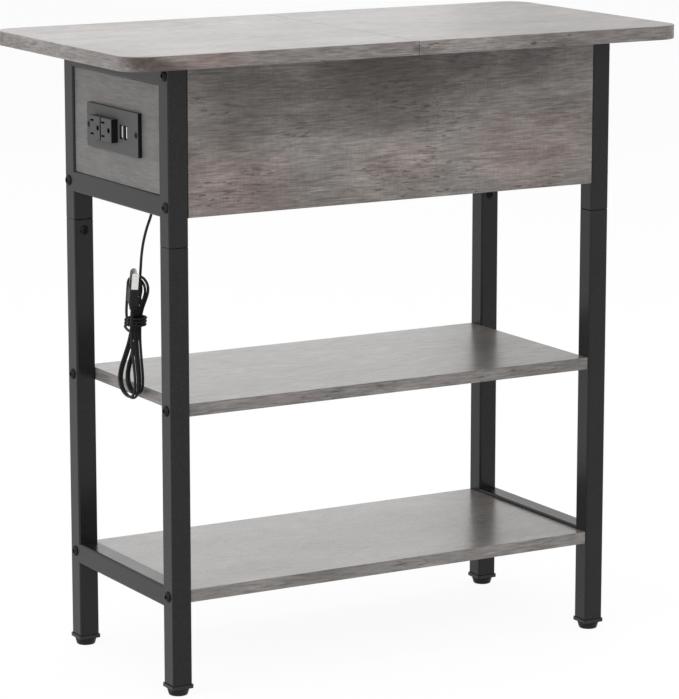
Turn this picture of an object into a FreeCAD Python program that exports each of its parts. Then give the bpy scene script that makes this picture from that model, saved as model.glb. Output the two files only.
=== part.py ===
import FreeCAD, Part
import math
import os

os.makedirs("parts", exist_ok=True)
Vector = FreeCAD.Vector

# Flip top end table, in millimetres. X runs along the table's length, Y towards its back, Z up from
# the floor; the origin is on the floor under the table's middle.

# Tabletop: a fixed left half and a flip lid on the right, parted by a seam across the middle
table_height = 605.7
top_length = 600.0
top_depth = 298.0
top_thickness = 13.5
top_corner_radius = 25.0
top_edge_radius = 1.0
seam_gap = 0.6

# Frame of square steel tube: welded upper end frames, and lower end frames butted under them
frame_length = 482.0
frame_depth = 219.0
tube_side = 20.0
tube_wall = 1.2
tube_corner_radius = 2.0
tube_bore_radius = 0.8
box_height = 140.5
leg_stub = 27.0
leg_end_chamfer = 0.5
lower_rail_width = 20.0
lower_rail_height = 20.0
lower_rail_top_z = 104.2

# Boards of the storage box and the shelves
panel_thickness = 15.0
side_panel_thickness = 12.0
side_panel_recess = 2.0
floor_thickness = 5.0
floor_groove_depth = 5.0
shelf_thickness = 12.0
shelf_depth = 215.0
board_edge_radius = 0.6
middle_shelf_top_z = 278.2
lower_shelf_top_z = 101.2
board_clearance = 0.2

# Bolts through the legs into barrel nuts in the boards
bolt_radius = 3.0
bolt_head_radius = 5.2
bolt_head_height = 2.8
bolt_socket_radius = 2.0
bolt_socket_depth = 1.8
bolt_reach = 30.0
bolt_hole_clearance = 0.2
nut_radius = 4.7
nut_length = 9.5
nut_setback = 22.0
nut_clearance = 0.15
panel_bolt_inset = 10.0

# Screws
screw_clearance = 0.1
side_screw_radius = 2.0
side_screw_head_radius = 3.8
side_screw_head_height = 2.4
side_screw_reach = 22.0
side_screw_spacing = 120.0
joint_screw_radius = 2.5
joint_screw_head_radius = 4.4
joint_screw_head_height = 2.4
joint_screw_length = 10.0
joint_screw_drop = 10.5

# Spigots inside the leg joints
spigot_length = 56.0
spigot_wall = 1.5
spigot_clearance = 0.2

# Leg plugs and levelling feet
foot_pad_height = 7.1
foot_pad_top_radius = 10.4
foot_pad_bottom_radius = 8.8
foot_pad_rim = 1.6
foot_edge_radius = 1.2
foot_lip_overhang = 1.2
foot_lip_height = 3.3
foot_lip_radius = 2.4
foot_plug_height = 18.0
foot_plug_clearance = 0.15
foot_stud_radius = 3.0
foot_stud_length = 17.0
foot_stud_clearance = 0.05

# Angle brackets under the fixed half of the top
bracket_leg = 22.0
bracket_width = 18.0
bracket_thickness = 2.0
bracket_outer_setback = 61.0
bracket_seam_setback = 34.0
bracket_screw_radius = 1.8
bracket_screw_head_radius = 3.4
bracket_screw_head_height = 1.6
bracket_screw_reach = 10.0

# Concealed lid hinges: a barrel in each half, and a curved link about a line just over the seam
hinge_spacing = 150.0
hinge_axis_lift = 0.4
barrel_radius = 5.5
barrel_length = 15.0
barrel_clearance = 0.05
link_radius = 6.2
link_thickness = 1.4
link_width = 3.6
link_half_angle = 66.0
link_clearance = 0.3
link_end_angle = 3.0

# Power outlet on the left panel
outlet_y = 1.5
plate_length = 107.5
plate_height = 41.4
plate_thickness = 4.0
plate_corner_radius = 1.2
plate_edge_radius = 0.4
plate_screw_spacing = 99.0
plate_screw_radius = 1.6
plate_screw_head_radius = 3.0
plate_screw_head_height = 1.0
plate_screw_reach = 9.0
socket_pitch = 23.0
socket_height = 22.0
socket_proud = 6.8
socket_depth = 24.0
socket_offset = 11.3
socket_edge_radius = 1.0
socket_flange = 1.5
socket_flange_thickness = 2.0
socket_groove_width = 2.2
socket_groove_depth = 3.0
blade_spacing = 12.7
blade_slot_length = 7.0
blade_slot_height = 1.9
ground_distance = 11.9
ground_radius = 2.7
slot_depth = 9.0
contact_length = 8.4
contact_height = 4.4
contact_depth = 9.0
contact_throat_share = 0.75
contact_clearance = 0.1
usb_port_offset = 23.4
usb_port_pitch = 9.2
usb_shell_width = 5.8
usb_shell_height = 13.2
usb_shell_wall = 0.4
usb_shell_depth = 12.0
usb_shell_recess = 0.5
usb_insert_recess = 0.9
usb_insert_floor = 6.0
usb_tongue_thickness = 2.2
usb_tongue_height = 11.0
fit_clearance = 0.1
housing_length = 76.0
housing_height = 30.0
housing_depth = 40.0
housing_wall = 2.0
board_thickness = 1.6
board_gap = 1.0
transformer_length = 18.0
transformer_height = 14.0
transformer_depth = 9.0

# Cord: strain relief under the housing, grommet in the floor, free lead, hank and plug
cord_radius = 1.3
cord_exit_setback = 34.0
cord_exit_y = -14.0
relief_length = 20.0
relief_top_radius = 4.0
relief_bottom_radius = 2.2
grommet_flange_radius = 7.0
grommet_neck_radius = 4.8
grommet_flange_height = 2.0
grommet_clearance = 0.1
plug_length = 16.0
plug_width = 16.4
plug_depth = 8.4
plug_neck_length = 6.0
plug_neck_radius = 2.2
plug_edge_radius = 1.0
plug_turn = 18.0
plug_blade_length = 15.9
plug_blade_width = 6.3
plug_blade_thickness = 1.5

cut_overrun = 1.0

# Heights and faces that the pieces share
under_top_z = table_height - top_thickness
box_bottom_z = under_top_z - box_height
leg_seam_z = box_bottom_z - leg_stub
foot_top_z = foot_pad_height + foot_lip_height
frame_x = frame_length / 2
frame_y = frame_depth / 2
bracket_outer_x = bracket_outer_setback - frame_x
cord_exit_x = cord_exit_setback - frame_x
leg_x = frame_x - tube_side / 2
leg_y = frame_y - tube_side / 2
leg_inner_x = frame_x - tube_side
leg_inner_y = frame_y - tube_side
tube_bore = tube_side - 2 * tube_wall
top_rail_z = under_top_z - tube_side
bottom_rail_top_z = box_bottom_z + tube_side
panel_y = frame_y - panel_thickness / 2
panel_inner_y = frame_y - panel_thickness
panel_bolt_heights = (box_bottom_z + panel_bolt_inset, under_top_z - panel_bolt_inset)
side_panel_x = frame_x - side_panel_recess - side_panel_thickness / 2
side_panel_outer_x = frame_x - side_panel_recess
side_panel_inner_x = side_panel_outer_x - side_panel_thickness
outlet_z = (bottom_rail_top_z + top_rail_z) / 2
floor_top_z = bottom_rail_top_z + floor_thickness
sides = (-1, 1)


def block(x0, x1, y0, y1, z0, z1):
    """Box between two corners, given in any order."""
    low = Vector(min(x0, x1), min(y0, y1), min(z0, z1))
    return Part.makeBox(abs(x1 - x0), abs(y1 - y0), abs(z1 - z0), low)


def edges_along(shape, direction):
    """Straight edges of a box-like shape that run along a direction."""
    found = []
    for edge in shape.Edges:
        span = edge.Vertexes[-1].Point - edge.Vertexes[0].Point
        if span.cross(direction).Length < span.Length * 1e-6:
            found.append(edge)
    return found


def bar(x0, x1, y0, y1, z0, z1, direction, radius):
    """Box whose edges along one direction are rounded, as on drawn tube."""
    solid = block(x0, x1, y0, y1, z0, z1)
    return solid.makeFillet(radius, edges_along(solid, direction))


def rod(point, direction, radius, length):
    return Part.makeCylinder(radius, length, point, direction)


X_AXIS = Vector(1, 0, 0)
Y_AXIS = Vector(0, 1, 0)
Z_AXIS = Vector(0, 0, 1)


def fuse(shapes):
    return shapes[0].multiFuse(shapes[1:]).removeSplitter()


def bevel_leg_end(leg):
    """Break the sharp edge that the saw left on a leg's end at the seam."""
    low = leg_seam_z - leg_end_chamfer
    high = leg_seam_z + leg_end_chamfer
    cut = [edge for edge in leg.Edges if edge.BoundBox.ZMin > low and edge.BoundBox.ZMax < high]
    return leg.makeChamfer(leg_end_chamfer, cut)


def upper_frame(side):
    """Welded end frame: two uprights, a top rail under the tabletop and a bottom rail."""
    outer = frame_x * side
    inner = leg_inner_x * side
    rail_end = leg_inner_y + tube_corner_radius
    tubes = []
    bores = []
    for end in sides:
        leg = bar(inner, outer, leg_inner_y * end, frame_y * end, leg_seam_z, under_top_z,
                  Z_AXIS, tube_corner_radius)
        tubes.append(bevel_leg_end(leg))
        bores.append(bar((frame_x - tube_wall) * side, (leg_inner_x + tube_wall) * side,
                         (frame_y - tube_wall) * end, (leg_inner_y + tube_wall) * end,
                         leg_seam_z - cut_overrun, under_top_z + cut_overrun, Z_AXIS, tube_bore_radius))
    for low in (box_bottom_z, top_rail_z):
        tubes.append(bar(inner, outer, -rail_end, rail_end, low, low + tube_side, Y_AXIS, tube_corner_radius))
        bores.append(bar((frame_x - tube_wall) * side, (leg_inner_x + tube_wall) * side, -leg_y, leg_y,
                         low + tube_wall, low + tube_side - tube_wall, Y_AXIS, tube_bore_radius))
    holes = []
    for end in sides:
        for height in panel_bolt_heights:
            holes.append(bolt_hole(side, panel_y * end, height))
        holes.append(side_screw_access(side, end, 1))
        holes.append(side_screw_access(side, end, -1))
    return fuse(tubes).cut(fuse(bores)).cut(Part.makeCompound(holes))


def bolt_hole(side, y, height):
    """Clearance hole through both walls of a leg, along X."""
    start = Vector((leg_inner_x - cut_overrun) * side, y, height)
    return rod(start, X_AXIS * side, bolt_radius + bolt_hole_clearance, tube_side + 2 * cut_overrun)


def side_screw_place(side, end, level):
    """Where a side panel screw leaves its rail, and the way that it points: level 1 is the top rail."""
    height = top_rail_z if level > 0 else bottom_rail_top_z
    return Vector(side_panel_x * side, side_screw_spacing / 2 * end, height), Z_AXIS * -level


def side_screw_access(side, end, level):
    """Shank hole in the rail wall beside the panel, and a wider hole for the head in the wall beyond."""
    place, down = side_screw_place(side, end, level)
    shank = rod(place + down * cut_overrun, down * -1, side_screw_radius + screw_clearance,
                tube_wall + 2 * cut_overrun)
    access = rod(place - down * (tube_side - tube_wall - cut_overrun), down * -1,
                 side_screw_head_radius + cut_overrun, tube_wall + 2 * cut_overrun)
    return shank.fuse(access)


def side_screw(side, end, level):
    """Pan head screw inside the rail, driven into the edge of the side panel."""
    place, down = side_screw_place(side, end, level)
    seat = place - down * tube_wall
    head = rod(seat, down * -1, side_screw_head_radius, side_screw_head_height)
    return head.fuse(rod(seat, down, side_screw_radius, tube_wall + side_screw_reach))


def lower_frame(side):
    """Lower legs with one side rail, whose outer face is flush with the legs."""
    outer = frame_x * side
    inner = leg_inner_x * side
    rail_inner = (frame_x - lower_rail_width) * side
    rail_end = leg_inner_y + tube_corner_radius
    rail_low = lower_rail_top_z - lower_rail_height
    tubes = []
    bores = []
    holes = []
    for end in sides:
        leg = bar(inner, outer, leg_inner_y * end, frame_y * end, foot_top_z, leg_seam_z,
                  Z_AXIS, tube_corner_radius)
        tubes.append(bevel_leg_end(leg))
        bores.append(bar((frame_x - tube_wall) * side, (leg_inner_x + tube_wall) * side,
                         (frame_y - tube_wall) * end, (leg_inner_y + tube_wall) * end,
                         foot_top_z - cut_overrun, leg_seam_z + cut_overrun, Z_AXIS, tube_bore_radius))
        for top in (middle_shelf_top_z, lower_shelf_top_z):
            holes.append(bolt_hole(side, leg_y * end, top - shelf_thickness / 2))
        start = Vector(leg_x * side, (leg_inner_y - cut_overrun) * end, leg_seam_z - joint_screw_drop)
        holes.append(rod(start, Y_AXIS * end, joint_screw_radius + screw_clearance,
                         tube_wall + 2 * cut_overrun))
    tubes.append(bar(rail_inner, outer, -rail_end, rail_end, rail_low, lower_rail_top_z,
                     Y_AXIS, tube_corner_radius))
    bores.append(bar((frame_x - tube_wall) * side, (frame_x - lower_rail_width + tube_wall) * side,
                     -leg_y, leg_y, rail_low + tube_wall, lower_rail_top_z - tube_wall,
                     Y_AXIS, tube_bore_radius))
    return fuse(tubes).cut(fuse(bores)).cut(Part.makeCompound(holes))


def leg_spigot(side, end):
    """Square sleeve that joins an upper and a lower leg."""
    half = tube_bore / 2 - spigot_clearance
    hollow = half - spigot_wall
    low = leg_seam_z - spigot_length / 2
    high = leg_seam_z + spigot_length / 2
    x = leg_x * side
    y = leg_y * end
    sleeve = bar(x - half, x + half, y - half, y + half, low, high, Z_AXIS, tube_bore_radius)
    sleeve = sleeve.cut(block(x - hollow, x + hollow, y - hollow, y + hollow,
                              low - cut_overrun, high + cut_overrun))
    start = Vector(x, y, leg_seam_z - joint_screw_drop)
    return sleeve.cut(rod(start, Y_AXIS * -end, joint_screw_radius + screw_clearance, tube_side / 2))


def domed_screw(seat, outward, shank_radius, shank_length, head_radius, head_height):
    """Button head screw: a domed head with a hex socket, and a plain shank."""
    rim = head_height / 4
    sag = head_height - rim
    dome_radius = (head_radius ** 2 + sag ** 2) / (2 * sag)
    head = rod(seat, outward, head_radius, head_height)
    ball = Part.makeSphere(dome_radius, seat + outward * (head_height - dome_radius))
    head = head.common(ball)
    socket_radius = head_radius * bolt_socket_radius / bolt_head_radius
    socket_depth = head_height * bolt_socket_depth / bolt_head_height
    head = head.cut(hexagon(seat + outward * head_height, outward * -1, socket_radius, socket_depth))
    return head.fuse(rod(seat, outward * -1, shank_radius, shank_length)).removeSplitter()


def hexagon(centre, direction, radius, depth):
    """Hexagonal prism for a driver socket."""
    across = Y_AXIS if abs(direction.x) > abs(direction.y) else X_AXIS
    other = direction.cross(across)
    points = []
    for corner in range(7):
        angle = math.radians(60 * corner)
        points.append(centre + across * (radius * math.cos(angle)) + other * (radius * math.sin(angle)))
    return Part.Face(Part.makePolygon(points)).extrude(direction * depth)


def joint_screw(side, end):
    seat = Vector(leg_x * side, leg_inner_y * end, leg_seam_z - joint_screw_drop)
    return domed_screw(seat, Y_AXIS * -end, joint_screw_radius, joint_screw_length,
                       joint_screw_head_radius, joint_screw_head_height)


def frame_bolt(side, y, height):
    """Bolt from a leg's outer face, through the leg, into the end of a board."""
    seat = Vector(frame_x * side, y, height)
    return domed_screw(seat, X_AXIS * side, bolt_radius, tube_side + bolt_reach,
                       bolt_head_radius, bolt_head_height)


def barrel_nut(side, y, height, direction):
    """Cross dowel with the bolt's hole through it; direction is the dowel's own axis."""
    centre = Vector((leg_inner_x - nut_setback) * side, y, height)
    body = rod(centre - direction * (nut_length / 2), direction, nut_radius, nut_length)
    hole = rod(centre - X_AXIS * (2 * nut_radius), X_AXIS, bolt_radius + screw_clearance, 4 * nut_radius)
    return body.cut(hole)


def nut_hole(side, y, height, direction):
    """Blind hole for a barrel nut, open to the side that direction points away from."""
    centre = Vector((leg_inner_x - nut_setback) * side, y, height)
    start = centre + direction * (nut_length / 2 + nut_clearance)
    return rod(start, direction * -1, nut_radius + nut_clearance, nut_length + panel_thickness)


def board_bolt_hole(side, y, height):
    start = Vector((leg_inner_x + cut_overrun) * side, y, height)
    return rod(start, X_AXIS * -side, bolt_radius + bolt_hole_clearance, bolt_reach + 2 * cut_overrun)


def leg_plug(side, end):
    """Plastic plug in a leg's foot, with a flared square lip and a bushed hole for the foot's stud."""
    x = leg_x * side
    y = leg_y * end
    half = tube_bore / 2 - foot_plug_clearance
    lip = tube_side / 2 + foot_lip_overhang
    body = bar(x - half, x + half, y - half, y + half, foot_top_z, foot_top_z + foot_plug_height,
               Z_AXIS, tube_bore_radius)
    flange = bar(x - lip, x + lip, y - lip, y + lip, foot_pad_height, foot_top_z, Z_AXIS, foot_lip_radius)
    hole = rod(Vector(x, y, foot_pad_height - cut_overrun), Z_AXIS, foot_stud_radius + foot_stud_clearance,
               foot_stud_length + 2 * cut_overrun)
    return body.fuse(flange).cut(hole)


def levelling_foot(side, end):
    """Round tapered pad with a stud, turned as one profile."""
    rim_z = foot_pad_height - foot_pad_rim
    profile = [Vector(0, 0, 0), Vector(foot_pad_bottom_radius, 0, 0), Vector(foot_pad_top_radius, 0, rim_z),
               Vector(foot_pad_top_radius, 0, foot_pad_height), Vector(foot_stud_radius, 0, foot_pad_height),
               Vector(foot_stud_radius, 0, foot_pad_height + foot_stud_length),
               Vector(0, 0, foot_pad_height + foot_stud_length), Vector(0, 0, 0)]
    foot = Part.Face(Part.makePolygon(profile)).revolve(Vector(0, 0, 0), Z_AXIS, 360)
    rims = [edge for edge in foot.Edges if edge.BoundBox.ZMax < foot_edge_radius]
    foot = foot.makeFillet(foot_edge_radius, rims)
    foot.translate(Vector(leg_x * side, leg_y * end, 0))
    return foot


def top_half(side):
    """Half of the tabletop, with rounded outer corners and a square edge at the seam."""
    x0 = seam_gap / 2 * side
    x1 = top_length / 2 * side
    y = top_depth / 2
    bend = top_corner_radius
    corner_x = x1 - bend * side
    diagonal = bend * math.sqrt(0.5)
    edges = []
    for end in sides:
        mid = Vector(corner_x + diagonal * side, (y - bend + diagonal) * end, under_top_z)
        arc = Part.Arc(Vector(corner_x, y * end, under_top_z), mid, Vector(x1, (y - bend) * end, under_top_z))
        edges.append(arc.toShape())
        edges.append(Part.makeLine(Vector(x0, y * end, under_top_z), Vector(corner_x, y * end, under_top_z)))
    edges.append(Part.makeLine(Vector(x1, y - bend, under_top_z), Vector(x1, bend - y, under_top_z)))
    edges.append(Part.makeLine(Vector(x0, y, under_top_z), Vector(x0, -y, under_top_z)))
    outline = Part.Wire(Part.__sortEdges__(edges))
    board = Part.Face(outline).extrude(Z_AXIS * top_thickness)
    rims = []
    for edge in board.Edges:
        flat = edge.BoundBox.ZLength < cut_overrun
        at_seam = abs(edge.BoundBox.XMin - x0) < seam_gap / 2 and edge.BoundBox.XLength < seam_gap / 2
        if flat and not at_seam:
            rims.append(edge)
    board = board.makeFillet(top_edge_radius, rims)
    for end in sides:
        board = board.cut(hinge_bore(side, end))
    return board


def hinge_centre(end):
    """Middle of a hinge: on the seam, at half the board's thickness."""
    return Vector(0, hinge_spacing / 2 * end, under_top_z + top_thickness / 2)


def hinge_bore(side, end):
    start = hinge_centre(end)
    depth = seam_gap / 2 + barrel_length + barrel_clearance
    return rod(start, X_AXIS * side, barrel_radius + barrel_clearance, depth)


def link_sector(end, radius_in, radius_out, width, start_angle, stop_angle):
    """Ring sector about the lid's hinge line, between two angles from straight down towards +X."""
    axis = Vector(0, hinge_spacing / 2 * end - width / 2, table_height + hinge_axis_lift)

    def at(radius, angle):
        turn = math.radians(angle)
        return axis + Vector(radius * math.sin(turn), 0, -radius * math.cos(turn))

    middle = (start_angle + stop_angle) / 2
    outer = Part.Arc(at(radius_out, start_angle), at(radius_out, middle), at(radius_out, stop_angle))
    inner = Part.Arc(at(radius_in, stop_angle), at(radius_in, middle), at(radius_in, start_angle))
    ends = (Part.makeLine(at(radius_out, stop_angle), at(radius_in, stop_angle)),
            Part.makeLine(at(radius_in, start_angle), at(radius_out, start_angle)))
    outline = Part.Wire([outer.toShape(), ends[0], inner.toShape(), ends[1]])
    return Part.Face(outline).extrude(Y_AXIS * width)


def hinge_barrel(side, end):
    """Barrel pressed into the seam edge, with a curved slot for the link."""
    start = hinge_centre(end) + X_AXIS * (seam_gap / 2 * side)
    body = rod(start, X_AXIS * side, barrel_radius, barrel_length)
    half = link_thickness / 2 + link_clearance
    reach = (link_half_angle + link_end_angle) * side
    slot = link_sector(end, link_radius - half, link_radius + half, link_width + 2 * link_clearance, 0, reach)
    return body.cut(slot)


def hinge_link(end):
    half = link_thickness / 2
    return link_sector(end, link_radius - half, link_radius + half, link_width,
                       -link_half_angle, link_half_angle)


def box_panel(end):
    """Front or rear panel of the storage box, with a groove for the floor and bolt holes in its ends."""
    length = leg_inner_x - board_clearance
    panel = bar(-length, length, panel_inner_y * end, frame_y * end, box_bottom_z,
                under_top_z - board_clearance, X_AXIS, board_edge_radius)
    groove = block(-length - cut_overrun, length + cut_overrun, (panel_inner_y - cut_overrun) * end,
                   (panel_inner_y + floor_groove_depth) * end, bottom_rail_top_z - board_clearance / 2,
                   floor_top_z + board_clearance / 2)
    holes = [groove]
    for side in sides:
        for height in panel_bolt_heights:
            holes.append(board_bolt_hole(side, panel_y * end, height))
            holes.append(nut_hole(side, panel_y * end, height, Y_AXIS * end))
    for x in bracket_places:
        seat, outward = bracket_screw_places(x, end)[0]
        holes.append(rod(seat, outward * -1, bracket_screw_radius, bracket_screw_reach))
    return panel.cut(Part.makeCompound(holes))


bracket_places = (bracket_outer_x, -bracket_seam_setback)


def side_panel(side):
    """Board set in the opening of an upper end frame."""
    y = leg_inner_y - board_clearance
    panel = block(side_panel_outer_x * side, side_panel_inner_x * side, -y, y,
                  bottom_rail_top_z + board_clearance, top_rail_z - board_clearance)
    holes = []
    for end in sides:
        for level in sides:
            place, down = side_screw_place(side, end, level)
            holes.append(rod(place, down, side_screw_radius, side_screw_reach))
    return panel.cut(Part.makeCompound(holes))


def left_panel():
    """Side panel with the outlet's cut-out and its plate screws' pilot holes."""
    half_length = housing_length / 2 + board_clearance
    half_height = housing_height / 2 + board_clearance
    opening = block(-frame_x, -leg_inner_x, outlet_y - half_length, outlet_y + half_length,
                    outlet_z - half_height, outlet_z + half_height)
    panel = side_panel(-1).cut(opening)
    for end in sides:
        start = Vector(-frame_x, outlet_y + plate_screw_spacing / 2 * end, outlet_z)
        panel = panel.cut(rod(start, X_AXIS, plate_screw_radius, side_panel_recess + plate_screw_reach))
    return panel


def compartment_floor():
    """Thin floor in the panels' grooves, resting on both bottom rails, notched round the uprights."""
    x = side_panel_inner_x - board_clearance
    y = panel_inner_y + floor_groove_depth - board_clearance
    floor = block(-x, x, -y, y, bottom_rail_top_z, floor_top_z)
    for side in sides:
        for end in sides:
            floor = floor.cut(block((leg_inner_x - board_clearance) * side, frame_x * side,
                                    (leg_inner_y - board_clearance) * end, frame_y * end,
                                    box_bottom_z, under_top_z))
    start = Vector(cord_exit_x, cord_exit_y, box_bottom_z)
    return floor.cut(rod(start, Z_AXIS, grommet_neck_radius + grommet_clearance, box_height))


def shelf(top_z):
    """Shelf board between the legs, with bolt holes in its ends and barrel nuts under it."""
    x = leg_inner_x - board_clearance
    board = bar(-x, x, -shelf_depth / 2, shelf_depth / 2, top_z - shelf_thickness, top_z,
                X_AXIS, board_edge_radius)
    height = top_z - shelf_thickness / 2
    holes = []
    for side in sides:
        for end in sides:
            holes.append(board_bolt_hole(side, leg_y * end, height))
            holes.append(nut_hole(side, leg_y * end, height, Z_AXIS))
    return board.cut(Part.makeCompound(holes))


def top_bracket(x, end):
    """Steel angle between a panel's inner face and the underside of the fixed half."""
    x0 = x - bracket_width / 2
    x1 = x + bracket_width / 2
    face = panel_inner_y * end
    reach = bracket_thickness + bracket_leg
    upright = block(x0, x1, face, face - bracket_thickness * end, under_top_z - reach, under_top_z)
    flat = block(x0, x1, face, face - reach * end, under_top_z - bracket_thickness, under_top_z)
    angle = upright.fuse(flat).removeSplitter()
    for place, outward in bracket_screw_places(x, end):
        hole = rod(place + outward * cut_overrun, outward * -1, bracket_screw_radius + screw_clearance,
                   bracket_thickness + 2 * cut_overrun)
        angle = angle.cut(hole)
    return angle


def bracket_screw_places(x, end):
    """Seats of a bracket's two screws, on its faces, with the way that the heads point."""
    middle = bracket_thickness + bracket_leg / 2
    into_panel = Vector(x, (panel_inner_y - bracket_thickness) * end, under_top_z - middle)
    into_top = Vector(x, (panel_inner_y - middle) * end, under_top_z - bracket_thickness)
    return ((into_panel, Y_AXIS * -end), (into_top, Z_AXIS * -1))


def bracket_screws():
    screws = []
    for x in bracket_places:
        for end in sides:
            for seat, outward in bracket_screw_places(x, end):
                screws.append(domed_screw(seat, outward, bracket_screw_radius, bracket_screw_reach,
                                          bracket_screw_head_radius, bracket_screw_head_height))
    return screws


def fixed_top():
    """Left half of the top, with pilot holes for the bracket screws."""
    board = top_half(-1)
    for x in bracket_places:
        for end in sides:
            seat, outward = bracket_screw_places(x, end)[1]
            board = board.cut(rod(seat, outward * -1, bracket_screw_radius, bracket_screw_reach))
    return board


# Outlet faces, worked inwards from the side panel
plate_back_x = -side_panel_outer_x
plate_front_x = plate_back_x - plate_thickness
socket_front_x = plate_front_x - socket_proud
socket_back_x = socket_front_x + socket_depth
socket_y = outlet_y + socket_offset
usb_y = outlet_y - usb_port_offset
usb_places = (usb_y + usb_port_pitch / 2, usb_y - usb_port_pitch / 2)


def outlet_plate():
    """Cover plate with openings for the socket block and the ports."""
    y0 = outlet_y - plate_length / 2
    y1 = outlet_y + plate_length / 2
    plate = bar(plate_front_x, plate_back_x, y0, y1, outlet_z - plate_height / 2, outlet_z + plate_height / 2,
                X_AXIS, plate_corner_radius)
    rims = [edge for edge in plate.Edges if edge.BoundBox.XMax < plate_front_x + plate_edge_radius]
    plate = plate.makeFillet(plate_edge_radius, rims)
    near = plate_front_x - cut_overrun
    far = plate_back_x + cut_overrun
    half = socket_pitch + fit_clearance
    rise = socket_height / 2 + fit_clearance
    openings = [block(near, far, socket_y - half, socket_y + half, outlet_z - rise, outlet_z + rise)]
    wide = usb_shell_width / 2 + fit_clearance
    tall = usb_shell_height / 2 + fit_clearance
    for y in usb_places:
        openings.append(block(near, far, y - wide, y + wide, outlet_z - tall, outlet_z + tall))
    for end in sides:
        start = Vector(near, outlet_y + plate_screw_spacing / 2 * end, outlet_z)
        openings.append(rod(start, X_AXIS, plate_screw_radius + screw_clearance, far - near))
    return plate.cut(Part.makeCompound(openings))


def plate_screw(end):
    seat = Vector(plate_front_x, outlet_y + plate_screw_spacing / 2 * end, outlet_z)
    return domed_screw(seat, X_AXIS * -1, plate_screw_radius, plate_thickness + plate_screw_reach,
                       plate_screw_head_radius, plate_screw_head_height)


def socket_slots(y):
    """Blade slots and ground hole of one socket, laid on its side: one slot lies over the other."""
    slots = []
    for level in sides:
        z = outlet_z + blade_spacing / 2 * level
        slots.append((y, z, blade_slot_length / 2, blade_slot_height / 2))
    slots.append((y - ground_distance, outlet_z, ground_radius, ground_radius))
    return slots


socket_blade_y = [socket_y + (ground_distance + socket_pitch * end) / 2 for end in sides]


def socket_block():
    """Raised block with two grounded sockets, parted by a groove, and pockets for the contacts."""
    half = socket_pitch
    body = block(socket_front_x, socket_back_x, socket_y - half, socket_y + half,
                 outlet_z - socket_height / 2, outlet_z + socket_height / 2)
    rims = [edge for edge in body.Edges if edge.BoundBox.XMax < socket_front_x + socket_edge_radius]
    body = body.makeFillet(socket_edge_radius, rims)
    wide = socket_pitch + socket_flange
    tall = socket_height / 2 + socket_flange
    back = plate_back_x + socket_flange_thickness
    flange = block(plate_back_x, back, socket_y - wide, socket_y + wide, outlet_z - tall, outlet_z + tall)
    body = body.fuse(flange)
    cuts = [block(socket_front_x - cut_overrun, socket_front_x + socket_groove_depth,
                  socket_y - socket_groove_width / 2, socket_y + socket_groove_width / 2,
                  outlet_z - socket_height, outlet_z + socket_height)]
    for blade_y in socket_blade_y:
        for y, z, wide, tall in socket_slots(blade_y):
            if wide == tall:
                start = Vector(socket_front_x - cut_overrun, y, z)
                cuts.append(rod(start, X_AXIS, ground_radius, slot_depth + 2 * cut_overrun))
            else:
                cuts.append(block(socket_front_x - cut_overrun, socket_front_x + slot_depth + cut_overrun,
                                  y - wide, y + wide, z - tall, z + tall))
            cuts.append(contact_pocket(y, z))
    return body.cut(fuse(cuts))


def contact_pocket(y, z):
    """Room for a contact, from behind its slot to the block's back."""
    front = socket_front_x + slot_depth
    wide = contact_length / 2 + contact_clearance
    tall = contact_height / 2 + contact_clearance
    return block(front, socket_back_x + cut_overrun, y - wide, y + wide, z - tall, z + tall)


def contact(y, z, wide, tall):
    """Brass contact: a folded spring with a mouth for the blade or pin."""
    front = socket_front_x + slot_depth
    body = block(front, front + contact_depth, y - contact_length / 2, y + contact_length / 2,
                 z - contact_height / 2, z + contact_height / 2)
    mouth = min(tall, contact_height / 4)
    throat = front + contact_depth * contact_throat_share
    wide = contact_length
    return body.cut(block(front - cut_overrun, throat, y - wide, y + wide, z - mouth, z + mouth))


def socket_contacts():
    return [contact(*slot) for blade_y in socket_blade_y for slot in socket_slots(blade_y)]


def usb_shell(y):
    """Folded steel shell of a port."""
    front = plate_front_x + usb_shell_recess
    wide = usb_shell_width / 2
    tall = usb_shell_height / 2
    shell = block(front, front + usb_shell_depth, y - wide, y + wide, outlet_z - tall, outlet_z + tall)
    wide = wide - usb_shell_wall
    tall = tall - usb_shell_wall
    return shell.cut(block(front - cut_overrun, front + usb_shell_depth + cut_overrun, y - wide, y + wide,
                           outlet_z - tall, outlet_z + tall))


def usb_insert(y):
    """White insulator of a port: a floor across the shell, and the tongue."""
    front = plate_front_x + usb_shell_recess
    back = front + usb_shell_depth
    wide = usb_shell_width / 2 - usb_shell_wall - fit_clearance
    tall = usb_shell_height / 2 - usb_shell_wall - fit_clearance
    floor = block(front + usb_insert_floor, back, y - wide, y + wide, outlet_z - tall, outlet_z + tall)
    thin = usb_tongue_thickness / 2
    tall = usb_tongue_height / 2
    tongue = block(front + usb_insert_recess, back, y - thin, y + thin, outlet_z - tall, outlet_z + tall)
    return floor.fuse(tongue).removeSplitter()


def outlet_housing():
    """Box behind the panel, open towards the plate, with the cord's hole in its underside."""
    y = housing_length / 2
    z = housing_height / 2
    back = plate_back_x + housing_depth
    shell = block(plate_back_x, back, outlet_y - y, outlet_y + y, outlet_z - z, outlet_z + z)
    inside = block(plate_back_x - cut_overrun, back - housing_wall, outlet_y - y + housing_wall,
                   outlet_y + y - housing_wall, outlet_z - z + housing_wall, outlet_z + z - housing_wall)
    start = Vector(cord_exit_x, cord_exit_y, outlet_z - z - cut_overrun)
    return shell.cut(inside).cut(rod(start, Z_AXIS, cord_radius, housing_wall + 2 * cut_overrun))


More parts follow.
